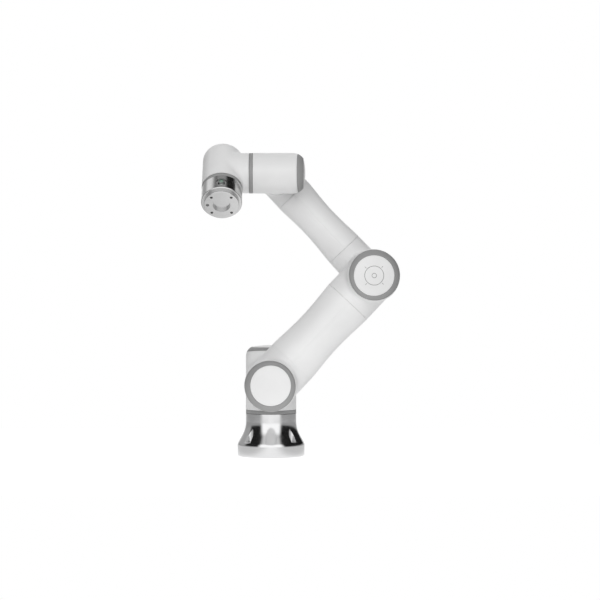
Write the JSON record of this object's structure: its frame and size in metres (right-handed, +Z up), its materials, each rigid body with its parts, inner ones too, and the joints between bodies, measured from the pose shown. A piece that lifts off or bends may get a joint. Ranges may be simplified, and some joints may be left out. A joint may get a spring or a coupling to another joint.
{
  "type": "collaborative robot arm",
  "caption": "Six-axis tabletop robot arm with round joint modules, a bolt-down polished base and a drilled tool flange.",
  "frame": {"origin": "centre of the mounting bolt circle, on the base's mounting face", "axes": "+Z up along the base joint's axis, -Y the side the shoulder and elbow caps face, +X the side the elbow reaches out to at rest"},
  "size_m": [0.3569, 0.2645, 0.5805],
  "materials": {
    "cast_metal": "polished casting",
    "flange_metal": "machined and polished",
    "gland_black": "moulded",
    "connector_metal": "blackened",
    "connector_core": "moulded",
    "windings": "enamelled winding, cast in",
    "board": "solder mask",
    "steel": "ground",
    "cap_grey": "fine texture",
    "cap_white": "fine texture",
    "tube_paint": "satin anodised",
    "housing_paint": "satin powder coat over the casting"
  },
  "bodies": {
    "base": {"base_casting": "cast_metal", "base_rear_cover": "cast_metal", "base_cable_gland": "gland_black", "base_output_hub": "steel"},
    "shoulder": {"base_joint_housing": "housing_paint", "base_joint_cap_ring": "cap_grey", "base_joint_cap": "cap_white", "base_joint_seal": "cap_grey", "base_joint_stator": "windings", "base_joint_rotor": "steel", "base_joint_reducer": "steel", "base_joint_drive_board": "board", "shoulder_output_hub": "steel"},
    "upper_arm": {"shoulder_housing": "housing_paint", "shoulder_cap_ring": "cap_grey", "shoulder_cap": "cap_white", "shoulder_seal": "cap_grey", "elbow_housing": "housing_paint", "elbow_cap_ring": "cap_grey", "elbow_cap": "cap_white", "elbow_seal": "cap_grey", "upper_arm_tube": "tube_paint", "upper_arm_stators": "windings", "upper_arm_rotors": "steel", "upper_arm_reducers": "steel", "upper_arm_drive_boards": "board"},
    "forearm": {"elbow_output_hub": "steel", "elbow_collar": "housing_paint", "forearm_tube": "tube_paint", "wrist1_housing": "housing_paint", "wrist1_cap_ring": "cap_grey", "wrist1_cap": "cap_white", "wrist1_seal": "cap_grey", "wrist1_stator": "windings", "wrist1_rotor": "steel", "wrist1_reducer": "steel", "wrist1_drive_board": "board"},
    "wrist_1": {"wrist1_output_hub": "steel", "wrist2_housing": "housing_paint", "wrist2_cap_ring": "cap_grey", "wrist2_cap": "cap_white", "wrist2_seal": "cap_grey", "wrist2_stator": "windings", "wrist2_rotor": "steel", "wrist2_reducer": "steel", "wrist2_drive_board": "board"},
    "wrist_2": {"wrist2_output_hub": "steel", "wrist3_housing": "housing_paint", "wrist3_seal": "cap_grey", "wrist3_stator": "windings", "wrist3_rotor": "steel", "wrist3_reducer": "steel", "wrist3_drive_board": "board"},
    "tool": {"tool_flange": "flange_metal", "tool_connector": "connector_metal", "tool_connector_core": "connector_core"}
  },
  "joints": [
    {"name": "base_turn", "type": "hinge", "parent": "base", "child": "shoulder", "pos_m": [0, 0, 0.14], "axis": [0, 0, 1], "range_deg": [-360, 360]},
    {"name": "shoulder_lift", "type": "hinge", "parent": "shoulder", "child": "upper_arm", "pos_m": [0, -0.11, 0.14], "axis": [0, -1, 0], "range_deg": [-60, 146]},
    {"name": "elbow_bend", "type": "hinge", "parent": "upper_arm", "child": "forearm", "pos_m": [0.18483, -0.11, 0.33682], "axis": [0, 1, 0], "range_deg": [-50, 195]},
    {"name": "wrist_1_turn", "type": "hinge", "parent": "forearm", "child": "wrist_1", "pos_m": [0.01024, -0.0055, 0.52405], "axis": [0, -1, 0], "range_deg": [-200, 120]},
    {"name": "wrist_2_turn", "type": "hinge", "parent": "wrist_1", "child": "wrist_2", "pos_m": [0.01024, -0.1035, 0.52405], "axis": [1, 0, 0], "range_deg": [-360, 360]},
    {"name": "wrist_3_turn", "type": "hinge", "parent": "wrist_2", "child": "tool", "pos_m": [-0.08776, -0.1035, 0.52405], "axis": [0, -0.723, -0.6909], "range_deg": [-360, 360]}
  ]
}
